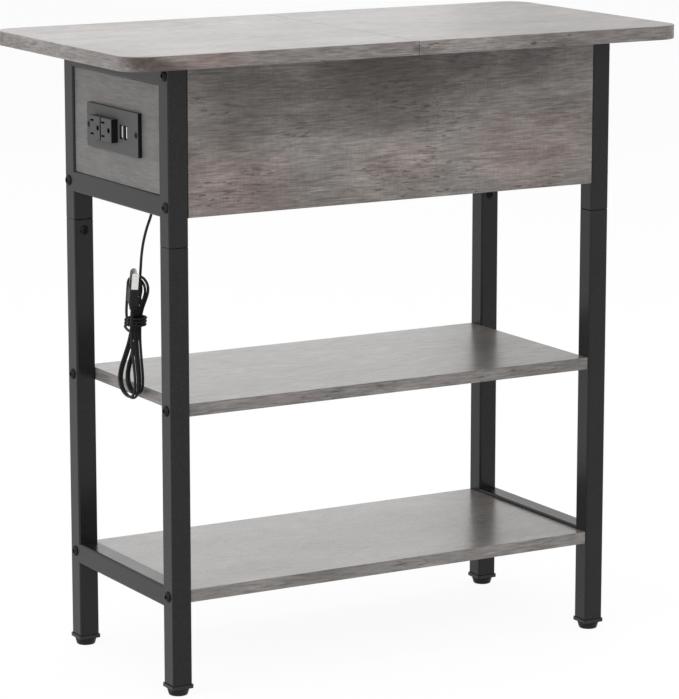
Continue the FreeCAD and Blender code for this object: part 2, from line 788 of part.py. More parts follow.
def charger_board():
    """Circuit board behind the ports, held between the housing's walls, with its transformer."""
    front = plate_front_x + usb_shell_recess + usb_shell_depth
    back = front + board_thickness
    end = outlet_y - housing_length / 2 + housing_wall + fit_clearance
    tall = housing_height / 2 - housing_wall - fit_clearance
    board = block(front, back, end, socket_y - socket_pitch - board_gap, outlet_z - tall, outlet_z + tall)
    wide = transformer_length / 2
    rise = transformer_height / 2
    return board.fuse(block(back, back + transformer_depth, usb_y - wide, usb_y + wide,
                            outlet_z - rise, outlet_z + rise))


relief_top_z = outlet_z - housing_height / 2
relief_bottom_z = relief_top_z - relief_length
grommet_bottom_z = bottom_rail_top_z - grommet_flange_height


def strain_relief():
    """Tapered sleeve under the housing."""
    top = Vector(cord_exit_x, cord_exit_y, relief_top_z)
    sleeve = Part.makeCone(relief_top_radius, relief_bottom_radius, relief_length, top, Z_AXIS * -1)
    return sleeve.cut(rod(top, Z_AXIS * -1, cord_radius, relief_length))


def inner_cord():
    """Cord between the housing and the underside of the grommet."""
    bottom = Vector(cord_exit_x, cord_exit_y, grommet_bottom_z)
    return rod(bottom, Z_AXIS, cord_radius, relief_top_z + housing_wall - grommet_bottom_z)


def floor_grommet():
    """Rubber grommet in the compartment floor: a neck between two flanges."""
    bottom = Vector(cord_exit_x, cord_exit_y, grommet_bottom_z)
    lower = rod(bottom, Z_AXIS, grommet_flange_radius, grommet_flange_height)
    neck = rod(bottom, Z_AXIS, grommet_neck_radius, 2 * grommet_flange_height + floor_thickness)
    top = Vector(cord_exit_x, cord_exit_y, floor_top_z)
    upper = rod(top, Z_AXIS, grommet_flange_radius, grommet_flange_height)
    hole = rod(bottom, Z_AXIS, cord_radius, 2 * grommet_flange_height + floor_thickness)
    return fuse([lower, neck, upper]).cut(hole)


# Hank: loops laid side by side from the inside outwards, drawn in at a waist that the tail wraps.
# Its own frame has u along the loops' width, v up, w outwards, and leans about its waist.
hank_inset = 17.1
hank_y = -16.6
hank_drop = 109.6
hank_waist = Vector(hank_inset - frame_x, hank_y, box_bottom_z - hank_drop)
hank_lean = 11.0
hank_loops = 4
layer_pitch = 3.05
loop_step = -1.0
waist_half_width = 1.4
lower_half_width = 16.5
lower_length = 72.0
lower_bulge = 20.0
upper_half_width = 9.5
upper_length = 42.6
upper_bulge = 14.0
wrap_half_width = 5.9
wrap_half_depth = 10.2
wrap_pitch = 3.3
wrap_quarters = 12
wrap_start_rise = 4.9
tail_turn = Vector(-17.0, 11.0, 19.5)
plug_place = Vector(-17.0, 19.5, 20.0)
hank_start = Vector(11.5, 48.5, -0.9)
gap_sample = 1.0
gap_skip = 16.0
straight_share = 1e-6

# Free lead, from the grommet to the hank, chosen by hand: inset from the frame's outer face, place in
# depth, rise from the box's underside
lead_insets = [(33.6, -14.0, 4.0), (31.0, -12.8, -10.0), (26.4, -11.2, -23.0), (22.0, -12.4, -36.0),
               (18.6, -15.2, -47.9)]
lead_points = [Vector(cord_exit_x, cord_exit_y, grommet_bottom_z)]
for lead_inset, lead_y, lead_rise in lead_insets:
    lead_points.append(Vector(lead_inset - frame_x, lead_y, box_bottom_z + lead_rise))
arc_share = 0.45


def hank_vector(vector):
    """A direction of the hank's frame, u v w, in the table's frame."""
    lean = math.radians(hank_lean)
    along = Vector(0, math.cos(lean), math.sin(lean))
    up = Vector(0, -math.sin(lean), math.cos(lean))
    return along * vector.x + up * vector.y - X_AXIS * vector.z


def hank_point(vector):
    return hank_waist + hank_vector(vector)


def loop_station(turn):
    """Point and direction of the loops at a count of turns, in eighths: down the back side, up the front."""
    step = loop_step * turn
    wide_low = lower_half_width - step
    wide_high = upper_half_width - step
    low = lower_length - step
    high = upper_length - step
    level_low = lower_bulge - low
    level_high = high - upper_bulge
    places = ((waist_half_width, 0), (wide_low, level_low), (0, -low), (-wide_low, level_low),
              (-waist_half_width, 0), (-wide_high, level_high), (0, high), (wide_high, level_high))
    ways = ((0, -1), (0, -1), (-1, 0), (0, 1), (0, 1), (0, 1), (1, 0), (0, -1))
    eighth = round(turn * 8) % 8
    return Vector(*places[eighth], layer_pitch * turn), Vector(*ways[eighth], 0)


def wrap_station(quarter):
    """Point and direction of the tail's turns round the waist, in quarters, from the outer side down."""
    angle = math.radians(90 * (quarter + 1))
    drop = wrap_pitch / 4
    point = Vector(wrap_half_width * math.cos(angle), wrap_start_rise - drop * quarter,
                   layer_pitch * hank_loops / 2 + wrap_half_depth * math.sin(angle))
    span = (wrap_half_width + wrap_half_depth) * math.pi / 4
    return point, Vector(-math.sin(angle) * span, -drop, math.cos(angle) * span)


def hank_stations():
    """Stations of the hank in the table's frame; both ends start or finish with a straight diameter."""
    begin = hank_point(hank_start)
    way = (begin - lead_points[-1]).normalize()
    local = [loop_station(eighth / 8) for eighth in range(-1, 8 * hank_loops)]
    local = local + [wrap_station(quarter) for quarter in range(wrap_quarters + 1)]
    local.append((tail_turn, Vector(0, 1, 0)))
    stations = [(begin, way), (begin + way * (2 * cord_radius), way)]
    stations = stations + [(hank_point(point), hank_vector(slope).normalize()) for point, slope in local]
    finish = hank_point(plug_place)
    up = hank_vector(Vector(0, 1, 0))
    return stations + [(finish - up * (2 * cord_radius), up), (finish, up)]


def arc_from(start, way, stop):
    """Arc, or line, that leaves start along way and ends at stop."""
    chord = stop - start
    if chord.cross(way).Length < chord.Length * straight_share:
        return Part.LineSegment(start, stop)
    bisector = (way + Vector(chord).normalize()).normalize()
    return Part.Arc(start, start + bisector * (chord.Length / 2 / bisector.dot(way)), stop)


def arc_into(start, stop, way):
    """Arc, or line, that leaves start and arrives at stop along way."""
    chord = start - stop
    if chord.cross(way).Length < chord.Length * straight_share:
        return Part.LineSegment(start, stop)
    bisector = (Vector(chord).normalize() - way).normalize()
    return Part.Arc(start, stop - bisector * (chord.Length / 2 / bisector.dot(way)), stop)


def biarc(start, start_way, stop, stop_way):
    """Two tangent arcs between two points with given directions."""
    span = stop - start
    spread = 2 * (1 - start_way.dot(stop_way))
    along = span.dot(start_way + stop_way)
    if spread < straight_share:
        reach = span.dot(span) / (2 * along)
    else:
        reach = (math.sqrt(along ** 2 + spread * span.dot(span)) - along) / spread
    joint = (start + stop + (start_way - stop_way) * reach) * 0.5
    return arc_from(start, start_way, joint), arc_into(joint, stop, stop_way)


def tube(curves):
    """Round tube along tangent curves."""
    path = Part.Wire([curve.toShape() for curve in curves])
    first = curves[0]
    start = first.value(first.FirstParameter)
    way = first.tangent(first.FirstParameter)[0]
    ring = Part.Wire([Part.makeCircle(cord_radius, start, way)])
    return path.makePipeShell([ring], True, False), path.Length


def least_gap(curves):
    """Least gap between stretches of the tube that aren't neighbours along it."""
    points = []
    run = 0
    for curve in curves:
        length = curve.length()
        count = max(2, round(length / gap_sample))
        for step in range(count):
            share = step / count
            parameter = curve.FirstParameter + (curve.LastParameter - curve.FirstParameter) * share
            points.append((run + length * share, curve.value(parameter)))
        run = run + length
    least = None
    for index, (place, point) in enumerate(points):
        for other_place, other in points[index + 1:]:
            if other_place - place > gap_skip:
                distance = point.distanceToPoint(other)
                if least is None or distance < least[0]:
                    least = (distance, place, other_place)
    return least[0] - 2 * cord_radius, least[1], least[2]


def print_tube(name, solid, curves, length):
    """Print a tube's length, its tightest bends and its volume against section times length."""
    shapes = [curve.toShape().Curve for curve in curves]
    radii = sorted(round(shape.Radius, 1) for shape in shapes if hasattr(shape, "Radius"))
    swept = math.pi * cord_radius ** 2 * length
    print("%s: length %.1f, tightest radii %s, volume over section times length %.4f"
          % (name, length, radii[:6], solid.Volume / swept))


def cord_hank():
    stations = hank_stations()
    curves = []
    for (start, start_way), (stop, stop_way) in zip(stations, stations[1:]):
        curves.extend(biarc(start, start_way, stop, stop_way))
    solid, length = tube(curves)
    print_tube("hank", solid, curves, length)
    print("hank: least gap to itself %.2f, at %.0f and %.0f along it" % least_gap(curves))
    return solid


def cord_lead():
    """Tube of straight runs and tangent arcs, each arc as large as its runs allow."""
    points = lead_points + [hank_point(hank_start)]
    curves = []
    here = points[0]
    for before, corner, after in zip(points, points[1:], points[2:]):
        back = before - corner
        ahead = after - corner
        reach = arc_share * min(back.Length, ahead.Length)
        start = corner + Vector(back).normalize() * reach
        stop = corner + Vector(ahead).normalize() * reach
        curves.append(Part.LineSegment(here, start))
        curves.append(arc_from(start, Vector(back).normalize() * -1, stop))
        here = stop
    curves.append(Part.LineSegment(here, points[-1]))
    solid, length = tube(curves)
    print_tube("lead", solid, curves, length)
    return solid


def plug_placed(shape):
    """Move a piece of the plug, drawn upright at the origin, to the hank's end."""
    up = hank_vector(Vector(0, 1, 0))
    shape.rotate(Vector(0, 0, 0), Z_AXIS, -plug_turn)
    shape.rotate(Vector(0, 0, 0), X_AXIS, math.degrees(math.atan2(-up.y, up.z)))
    shape.translate(hank_point(plug_place))
    return shape


def plug_body():
    """Moulded plug: a flat body over a tapered neck."""
    low = plug_neck_length
    body = block(-plug_depth / 2, plug_depth / 2, -plug_width / 2, plug_width / 2, low, low + plug_length)
    body = body.makeFillet(plug_edge_radius, body.Edges)
    wide = (plug_depth - plug_edge_radius) / 2
    neck = Part.makeCone(plug_neck_radius, wide, plug_neck_length + plug_edge_radius)
    return plug_placed(body.fuse(neck).removeSplitter())


def plug_blades():
    blades = []
    low = plug_neck_length + plug_length
    for end in sides:
        y = blade_spacing / 2 * end
        blade = block(-plug_blade_width / 2, plug_blade_width / 2, y - plug_blade_thickness / 2,
                      y + plug_blade_thickness / 2, low, low + plug_blade_length)
        tips = [edge for edge in edges_along(blade, Y_AXIS) if edge.BoundBox.ZMin > low]
        blade = blade.makeChamfer(plug_blade_width / 4, tips)
        blades.append(plug_placed(blade))
    return blades


def corners(make):
    return [make(side, end) for side in sides for end in sides]


shelf_bolt_heights = [top - shelf_thickness / 2 for top in (middle_shelf_top_z, lower_shelf_top_z)]
ends = [(side, end) for side in sides for end in sides]
panel_ends = [(side, panel_y * end, height) for side, end in ends for height in panel_bolt_heights]
shelf_ends = [(side, leg_y * end, height) for side, end in ends for height in shelf_bolt_heights]

nodes = {
    "upper_frame_left": [upper_frame(-1)],
    "upper_frame_right": [upper_frame(1)],
    "lower_frame_left": [lower_frame(-1)],
    "lower_frame_right": [lower_frame(1)],
    "leg_spigots": corners(leg_spigot),
    "leg_joint_screws": corners(joint_screw),
    "leg_plugs": corners(leg_plug),
    "levelling_foot_front_left": [levelling_foot(-1, -1)],
    "levelling_foot_rear_left": [levelling_foot(-1, 1)],
    "levelling_foot_front_right": [levelling_foot(1, -1)],
    "levelling_foot_rear_right": [levelling_foot(1, 1)],
    "fixed_top": [fixed_top()],
    "flip_lid": [top_half(1)],
    "hinge_barrels_fixed": [hinge_barrel(-1, end) for end in sides],
    "hinge_barrels_lid": [hinge_barrel(1, end) for end in sides],
    "hinge_links": [hinge_link(end) for end in sides],
    "top_brackets": [top_bracket(x, end) for x in bracket_places for end in sides],
    "bracket_screws": bracket_screws(),
    "front_panel": [box_panel(-1)],
    "rear_panel": [box_panel(1)],
    "left_panel": [left_panel()],
    "right_panel": [side_panel(1)],
    "compartment_floor": [compartment_floor()],
    "middle_shelf": [shelf(middle_shelf_top_z)],
    "lower_shelf": [shelf(lower_shelf_top_z)],
    "panel_bolts": [frame_bolt(*place) for place in panel_ends],
    "panel_barrel_nuts": [barrel_nut(side, y, height, Y_AXIS) for side, y, height in panel_ends],
    "shelf_bolts": [frame_bolt(*place) for place in shelf_ends],
    "shelf_barrel_nuts": [barrel_nut(side, y, height, Z_AXIS) for side, y, height in shelf_ends],
    "side_panel_screws": [side_screw(side, end, level) for side in sides for end in sides for level in sides],
    "outlet_cover_plate": [outlet_plate()],
    "outlet_plate_screws": [plate_screw(end) for end in sides],
    "outlet_socket_block": [socket_block()],
    "socket_contacts": socket_contacts(),
    "usb_shells": [usb_shell(y) for y in usb_places],
    "usb_inserts": [usb_insert(y) for y in usb_places],
    "outlet_housing": [outlet_housing()],
    "usb_charger_board": [charger_board()],
    "cord_strain_relief": [strain_relief()],
    "inner_cord": [inner_cord()],
    "floor_grommet": [floor_grommet()],
    "cord_lead": [cord_lead()],
    "cord_hank": [cord_hank()],
    "plug_body": [plug_body()],
    "plug_blades": plug_blades(),
}

for name, solids in nodes.items():
    shape = solids[0] if len(solids) == 1 else Part.makeCompound(solids)
    if not shape.isValid():
        print("not valid:", name)
    shape.exportStep("parts/%s.step" % name)
print(len(nodes), "nodes")
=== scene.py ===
import math

import bpy
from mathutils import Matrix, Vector


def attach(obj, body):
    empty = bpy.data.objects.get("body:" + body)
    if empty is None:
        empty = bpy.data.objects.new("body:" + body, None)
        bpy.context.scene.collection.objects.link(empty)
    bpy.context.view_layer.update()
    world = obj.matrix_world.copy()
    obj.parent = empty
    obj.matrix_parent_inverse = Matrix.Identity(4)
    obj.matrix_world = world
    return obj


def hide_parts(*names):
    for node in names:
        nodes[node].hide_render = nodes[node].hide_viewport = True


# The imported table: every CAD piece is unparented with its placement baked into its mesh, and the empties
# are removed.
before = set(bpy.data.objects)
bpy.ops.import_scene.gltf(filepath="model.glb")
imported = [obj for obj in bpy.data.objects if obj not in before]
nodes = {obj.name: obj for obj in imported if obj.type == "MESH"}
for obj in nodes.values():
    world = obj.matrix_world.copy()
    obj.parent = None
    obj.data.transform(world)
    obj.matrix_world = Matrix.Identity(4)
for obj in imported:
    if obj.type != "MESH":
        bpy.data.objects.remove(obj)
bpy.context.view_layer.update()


# Frame: welded square steel tube under a satin black powder coat, which dries to a fine orange peel.
# The upper and lower end frames are sprayed before the boards go in, so every tube has the same skin.
def add_node(tree, kind, **sockets):
    """A shader node, with values for its input sockets given by name, spaces written as underscores."""
    node = tree.nodes.new("ShaderNode" + kind)
    for name, value in sockets.items():
        node.inputs[name.replace("_", " ")].default_value = value
    return node


def new_group(name, inputs, outputs):
    """An empty shader node group with its input and output sockets."""
    tree = bpy.data.node_groups.new(name, "ShaderNodeTree")
    for socket, kind in inputs:
        tree.interface.new_socket(socket, in_out="INPUT", socket_type="NodeSocket" + kind)
    for socket, kind in outputs:
        tree.interface.new_socket(socket, in_out="OUTPUT", socket_type="NodeSocket" + kind)
    return tree, tree.nodes.new("NodeGroupInput"), tree.nodes.new("NodeGroupOutput")


def remap(tree, value, low, high, to_low, to_high):
    """Link a value through a clamped range and return the result's socket."""
    node = add_node(tree, "MapRange", From_Min=low, From_Max=high, To_Min=to_low, To_Max=to_high)
    tree.links.new(value, node.inputs["Value"])
    return node.outputs["Result"]


def combine(tree, operation, first, second):
    """A math node between two sockets, or a socket and a number."""
    node = tree.nodes.new("ShaderNodeMath")
    node.operation = operation
    for place, value in enumerate((first, second)):
        if isinstance(value, bpy.types.NodeSocket):
            tree.links.new(value, node.inputs[place])
        else:
            node.inputs[place].default_value = value
    return node.outputs["Value"]


def blend_colours(tree, factor, first, second, blend="MIX"):
    """A colour mix whose factor and colours are sockets or plain values."""
    node = tree.nodes.new("ShaderNodeMix")
    node.data_type = "RGBA"
    node.blend_type = blend
    colours = [socket for socket in node.inputs if socket.type == "RGBA"]
    for socket, value in zip([node.inputs["Factor"]] + colours, (factor, first, second)):
        if isinstance(value, bpy.types.NodeSocket):
            tree.links.new(value, socket)
        else:
            socket.default_value = value
    return [socket for socket in node.outputs if socket.type == "RGBA"][0]


def stretched_noise(tree, vector, stretch, detail, roughness=0.55, shift=(0, 0, 0)):
    """Noise over a vector scaled by so many features a metre along each axis."""
    mapping = add_node(tree, "Mapping", Scale=stretch, Location=shift)
    noise = add_node(tree, "TexNoise", Scale=1.0, Detail=detail, Roughness=roughness)
    tree.links.new(vector, mapping.inputs["Vector"])
    tree.links.new(mapping.outputs["Vector"], noise.inputs["Vector"])
    return noise.outputs["Fac"]


skin, skin_in, skin_out = new_group(
    "sprayed_skin",
    [("Vector", "Vector"), ("Colour", "Color"), ("Dust", "Color"), ("Grain", "Float"), ("Gloss", "Float")],
    [("Colour", "Color"), ("Roughness", "Float"), ("Height", "Float")])
skin_scaled = skin.nodes.new("ShaderNodeVectorMath")
skin_scaled.operation = "SCALE"
skin.links.new(skin_in.outputs["Vector"], skin_scaled.inputs[0])
skin.links.new(skin_in.outputs["Grain"], skin_scaled.inputs["Scale"])
peel = stretched_noise(skin, skin_scaled.outputs["Vector"], stretch=(1, 1, 1), detail=3)
drift = stretched_noise(skin, skin_in.outputs["Vector"], stretch=(14, 14, 9), detail=4)
speck = remap(skin, peel, 0.52, 0.68, 0, 0.7)
handled = remap(skin, drift, 0.45, 0.7, 0, 0.3)
dusted = combine(skin, "MAXIMUM", speck, handled)
skin.links.new(blend_colours(skin, dusted, skin_in.outputs["Colour"], skin_in.outputs["Dust"]),
               skin_out.inputs["Colour"])
skin.links.new(combine(skin, "ADD", skin_in.outputs["Gloss"], remap(skin, drift, 0.3, 0.7, -0.05, 0.06)),
               skin_out.inputs["Roughness"])
skin.links.new(peel, skin_out.inputs["Height"])


def new_material(name):
    """A material with an empty Principled shader, and its object coordinates."""
    material = bpy.data.materials.new(name)
    material.use_nodes = True
    tree = material.node_tree
    return material, tree, tree.nodes["Principled BSDF"], tree.nodes.new("ShaderNodeTexCoord")


def place_group(tree, group, vector, **sockets):
    """Put a node group in a material with its own values."""
    node = tree.nodes.new("ShaderNodeGroup")
    node.node_tree = group
    tree.links.new(vector, node.inputs["Vector"])
    for name, value in sockets.items():
        node.inputs[name].default_value = value
    return node


def bump(tree, height, shader, strength, distance):
    """Turn a height into the shader's normal."""
    node = add_node(tree, "Bump", Strength=strength, Distance=distance)
    tree.links.new(height, node.inputs["Height"])
    tree.links.new(node.outputs["Normal"], shader.inputs["Normal"])


def sprayed(name, colour, dust, grain, gloss, relief, specular=0.5, metallic=0.0, coat=0.0, shaded_sides=None):
    """Paint, moulded plastic or plated steel: a skin with its own grain, dust and gloss, with painted shade
    on the faces turned along Y when shaded sides are given.
    """
    material, tree, shader, place = new_material(name)
    node = place_group(tree, skin, place.outputs["Object"], Colour=(*colour, 1), Dust=(*dust, 1),
                       Grain=grain, Gloss=gloss)
    tree.links.new(node.outputs["Colour"], shader.inputs["Base Color"])
    tree.links.new(node.outputs["Roughness"], shader.inputs["Roughness"])
    # Painted shade: faces turned to the front or back blend to the darker shaded sides colour.
    if shaded_sides:
        turned = tree.nodes.new("ShaderNodeSeparateXYZ")
        tree.links.new(place.outputs["Normal"], turned.inputs["Vector"])
        painted_shade_mask = remap(tree, combine(tree, "ABSOLUTE", turned.outputs["Y"], 0), 0.5, 0.8, 0, 1)
        with_painted_shade = blend_colours(tree, painted_shade_mask, node.outputs["Colour"], (*shaded_sides, 1))
        tree.links.new(with_painted_shade, shader.inputs["Base Color"])
    shader.inputs["Specular IOR Level"].default_value = specular
    shader.inputs["Metallic"].default_value = metallic
    shader.inputs["Coat Weight"].default_value = coat
    shader.inputs["Coat Roughness"].default_value = 0.2
    bump(tree, node.outputs["Height"], shader, relief, 0.0004)
    return material


def finish_nodes(material, *names):
    """Give CAD nodes a finish."""
    for name in names:
        mesh = nodes[name].data
        mesh.materials.clear()
        mesh.materials.append(material)


powder_coat = sprayed("satin_black_powder_coat", colour=(0.004, 0.004, 0.0045), dust=(0.016, 0.016, 0.017),
                      grain=700, gloss=0.36, relief=0.3, specular=0.05, coat=0.5)
finish_nodes(powder_coat, "upper_frame_left", "upper_frame_right", "lower_frame_left", "lower_frame_right")

# Leg joints: a plain zinc sleeve hides in each pair of legs, and a black button screw on the inner
# face of the lower leg clamps it.
zinc_plate = sprayed("bright_zinc", colour=(0.55, 0.56, 0.57), dust=(0.42, 0.43, 0.44), grain=260,
                     gloss=0.32, relief=0.05, metallic=1.0)
black_oxide = sprayed("black_oxide_screw", colour=(0.006, 0.006, 0.006), dust=(0.012, 0.012, 0.012),
                      grain=900, gloss=0.48, relief=0.08, specular=0.15)
finish_nodes(zinc_plate, "leg_spigots")
finish_nodes(black_oxide, "leg_joint_screws")

# Feet: a moulded plug with a flared lip closes each leg, and a turned nylon pad screws into it to level
# the table.
matt_nylon = sprayed("matt_black_nylon", colour=(0.006, 0.006, 0.006), dust=(0.014, 0.014, 0.014),
                     grain=1500, gloss=0.5, relief=0.12, specular=0.2)
plug_nylon = sprayed("charcoal_nylon", colour=(0.006, 0.006, 0.0065), dust=(0.018, 0.018, 0.019),
                     grain=1100, gloss=0.42, relief=0.14, specular=0.4)
finish_nodes(plug_nylon, "leg_plugs")
finish_nodes(matt_nylon, "levelling_foot_front_left", "levelling_foot_rear_left",
             "levelling_foot_front_right", "levelling_foot_rear_right")

# Boards: particle board under a printed weathered grey oak paper. The print runs along each board and
# along its edge bands, with cloudy smudges, faded brown patches, fine fibres and a few short cracks.
oak, oak_in, oak_out = new_group(
    "weathered_oak_print",
    [("Vector", "Vector"), ("Normal", "Vector"), ("Grey", "Color"), ("Pale", "Color"), ("Brown", "Color"),
     ("Smudge", "Color"), ("Gloss", "Float"), ("Depth", "Float"), ("Hatch", "Float")],
    [("Colour", "Color"), ("Roughness", "Float"), ("Height", "Float")])
facing = oak.nodes.new("ShaderNodeSeparateXYZ")
oak.links.new(oak_in.outputs["Normal"], facing.inputs["Vector"])
end_face = combine(oak, "GREATER_THAN", combine(oak, "ABSOLUTE", facing.outputs["X"], 0), 0.7)
quarter_turn = add_node(oak, "Mapping", Rotation=(0, 0, math.radians(90)), Location=(0.37, 0.21, 0))
oak.links.new(oak_in.outputs["Vector"], quarter_turn.inputs["Vector"])
lengthwise = oak.nodes.new("ShaderNodeMix")
lengthwise.data_type = "VECTOR"
vector_sockets = [socket for socket in lengthwise.inputs if socket.type == "VECTOR" and socket.enabled]
oak.links.new(end_face, lengthwise.inputs["Factor"])
oak.links.new(oak_in.outputs["Vector"], vector_sockets[-2])
oak.links.new(quarter_turn.outputs["Vector"], vector_sockets[-1])
grain = [socket for socket in lengthwise.outputs if socket.type == "VECTOR"][0]

fibre = stretched_noise(oak, grain, stretch=(58, 700, 700), detail=2, roughness=0.6)
strand = stretched_noise(oak, grain, stretch=(13, 290, 290), detail=4, roughness=0.65,
                         shift=(1.3, 0.4, 2.6))
streak = remap(oak, strand, 0.25, 0.75, -0.07, 0.07)
cloud_drift = stretched_noise(oak, grain, stretch=(6, 9, 9), detail=5, roughness=0.62)
cloud = combine(oak, "ADD", streak, cloud_drift)
patch_drift = stretched_noise(oak, grain, stretch=(8, 13, 13), detail=4, roughness=0.6,
                              shift=(3.1, 1.7, 5.3))
patch = combine(oak, "ADD", streak, patch_drift)
fade_drift = stretched_noise(oak, grain, stretch=(9, 26, 26), detail=4, roughness=0.6,
                             shift=(7.7, 2.2, 9.1))
fade = combine(oak, "ADD", streak, fade_drift)
hair = stretched_noise(oak, grain, stretch=(10, 340, 340), detail=2, roughness=0.5, shift=(5.5, 3.7, 8.2))
hair_area = stretched_noise(oak, grain, stretch=(12, 30, 30), detail=3, roughness=0.6,
                            shift=(0.7, 9.3, 4.1))
weave = stretched_noise(oak, grain, stretch=(560, 80, 80), detail=2, roughness=0.6, shift=(4.4, 8.8, 0.6))
crack = stretched_noise(oak, grain, stretch=(70, 420, 420), detail=3, roughness=0.7, shift=(2.9, 6.1, 3.3))
crack_area = stretched_noise(oak, grain, stretch=(13, 22, 22), detail=2, roughness=0.5,
                             shift=(9.4, 5.2, 1.1))

faded = remap(oak, fade, 0.42, 0.66, 0, 0.85)
colour = blend_colours(oak, faded, oak_in.outputs["Grey"], oak_in.outputs["Pale"])
colour = blend_colours(oak, remap(oak, patch, 0.54, 0.72, 0, 0.55), colour, oak_in.outputs["Brown"])
colour = blend_colours(oak, remap(oak, cloud, 0.46, 0.68, 0, 0.8), colour, oak_in.outputs["Smudge"])
strand_shade = remap(oak, strand, 0.3, 0.7, 0.92, 1.08)
fibre_shade = remap(oak, fibre, 0.3, 0.7, 0.45, 1.55)
lined = combine(oak, "MULTIPLY", strand_shade, fibre_shade)
hatch = combine(oak, "MULTIPLY", remap(oak, weave, 0.3, 0.7, -0.24, 0.24), oak_in.outputs["Hatch"])
lined = combine(oak, "MULTIPLY", lined, combine(oak, "ADD", 1.0, hatch))
cracked = remap(oak, crack_area, 0.54, 0.6, 0, 0.95)
split = combine(oak, "MULTIPLY", remap(oak, crack, 0.56, 0.63, 0, 1), cracked)
hair_offset = combine(oak, "ABSOLUTE", combine(oak, "SUBTRACT", hair, 0.5), 0)
hairline = remap(oak, hair_offset, 0.008, 0.05, 1, 0)
hairline = combine(oak, "MULTIPLY", hairline, remap(oak, hair_area, 0.45, 0.65, 0.0, 0.5))
split = combine(oak, "MAXIMUM", split, hairline)
lined = combine(oak, "MULTIPLY", lined, combine(oak, "SUBTRACT", 1.0, split))
contrast = combine(oak, "MULTIPLY", combine(oak, "SUBTRACT", lined, 1.0), oak_in.outputs["Depth"])
lined = combine(oak, "ADD", 1.0, contrast)
shade = oak.nodes.new("ShaderNodeCombineColor")
for channel in ("Red", "Green", "Blue"):
    oak.links.new(lined, shade.inputs[channel])
colour = blend_colours(oak, 1.0, colour, shade.outputs["Color"], "MULTIPLY")
oak.links.new(colour, oak_out.inputs["Colour"])
oak.links.new(combine(oak, "ADD", oak_in.outputs["Gloss"], remap(oak, fibre, 0.3, 0.7, 0.025, -0.02)),
              oak_out.inputs["Roughness"])
oak.links.new(combine(oak, "SUBTRACT", combine(oak, "MULTIPLY", fibre, 0.6), split), oak_out.inputs["Height"])


def stain_and_painted_shade(tree, vector, colour, place, reach, tint, strength):
    """Multiply a cloudy blotch into a colour, strongest at its place and gone past its reach: stains on the
    top, and smudges with painted shade on the panels.
    """
    offset = add_node(tree, "Mapping", Location=[-spot / half for spot, half in zip(place, reach)],
                      Scale=[1 / half for half in reach])
    ramp = tree.nodes.new("ShaderNodeTexGradient")
    ramp.gradient_type = "SPHERICAL"
    tree.links.new(vector, offset.inputs["Vector"])
    tree.links.new(offset.outputs["Vector"], ramp.inputs["Vector"])
    frayed = stretched_noise(tree, vector, (12, 40, 40), 6, 0.7)
    ragged = combine(tree, "ADD", ramp.outputs["Fac"], remap(tree, frayed, 0.3, 0.7, -0.25, 0.25))
    cover = remap(tree, ragged, 0.05, 0.7, 0, strength)
    return blend_colours(tree, cover, colour, (*tint, 1), "MULTIPLY")


def laminate(name, shift, gloss, depth=1.0, coat=0.0, stains_and_shade=(), hatch=0.65,
             grey=(0.142, 0.129, 0.121), pale=(0.198, 0.184, 0.173),
             brown=(0.148, 0.123, 0.116), smudge=(0.075, 0.067, 0.063)):
    """Laminate for one board, cut from its own stretch of the print, under a clear wear layer."""
    material, tree, shader, place = new_material(name)
    slide = add_node(tree, "Mapping", Location=shift)
    tree.links.new(place.outputs["Object"], slide.inputs["Vector"])
    node = place_group(tree, oak, slide.outputs["Vector"], Grey=(*grey, 1), Pale=(*pale, 1),
                       Brown=(*brown, 1), Smudge=(*smudge, 1), Gloss=gloss, Depth=depth, Hatch=hatch)
    tree.links.new(place.outputs["Normal"], node.inputs["Normal"])
    colour = node.outputs["Colour"]
    # Blotches: stains on the top, and on the front and rear panels smudges together with painted shade.
    for spot, reach, tint, strength in stains_and_shade:
        colour = stain_and_painted_shade(tree, place.outputs["Object"], colour, spot, reach, tint, strength)
    tree.links.new(colour, shader.inputs["Base Color"])
    tree.links.new(node.outputs["Roughness"], shader.inputs["Roughness"])
    shader.inputs["Specular IOR Level"].default_value = 0.5
    shader.inputs["Coat Weight"].default_value = coat
    shader.inputs["Coat Roughness"].default_value = 0.18
    bump(tree, node.outputs["Height"], shader, 0.06, 0.0003)
    return material


top_stains = [((-0.22, -0.149, 0.599), (0.05, 0.02, 0.014), (1.0, 0.86, 0.84), 0.9),
              ((-0.286, -0.144, 0.6025), (0.03, 0.02, 0.008), (0.3, 0.24, 0.22), 1.0),
              ((-0.268, -0.149, 0.5945), (0.045, 0.02, 0.008), (0.35, 0.27, 0.25), 1.0)]
top_laminate = laminate("top_laminate", shift=(0.0, 0.0, 0.0), gloss=0.32, depth=0.7, stains_and_shade=top_stains,
                        hatch=0.35, grey=(0.156, 0.142, 0.133), pale=(0.215, 0.2, 0.188),
                        brown=(0.165, 0.135, 0.127), smudge=(0.12, 0.107, 0.1))
finish_nodes(top_laminate, "fixed_top", "flip_lid")
# Front panel blotches: the dark ones high under the top's overhang are painted shade together with smudges;
# lighter, pinker ones lie lower down.
front_smudges_and_painted_shade = [((-0.02, -0.11, 0.566), (0.15, 0.06, 0.074), (0.44, 0.42, 0.405), 1.0),
                ((-0.165, -0.11, 0.56), (0.08, 0.06, 0.055), (0.55, 0.54, 0.53), 1.0),
                ((0.15, -0.11, 0.555), (0.08, 0.06, 0.05), (0.78, 0.77, 0.76), 1.0),
                ((-0.17, -0.11, 0.475), (0.09, 0.06, 0.05), (1.3, 1.12, 1.1), 0.9),
                ((0.0, -0.11, 0.485), (0.09, 0.06, 0.045), (1.36, 1.25, 1.2), 0.9),
                ((0.15, -0.11, 0.485), (0.1, 0.06, 0.05), (1.18, 1.05, 1.02), 0.9)]
front_panel_laminate = laminate("front_panel_laminate", shift=(0.13, 0.31, 0.07), gloss=0.45, depth=0.62,
                                stains_and_shade=front_smudges_and_painted_shade, brown=(0.14, 0.125, 0.118))
finish_nodes(front_panel_laminate, "front_panel")
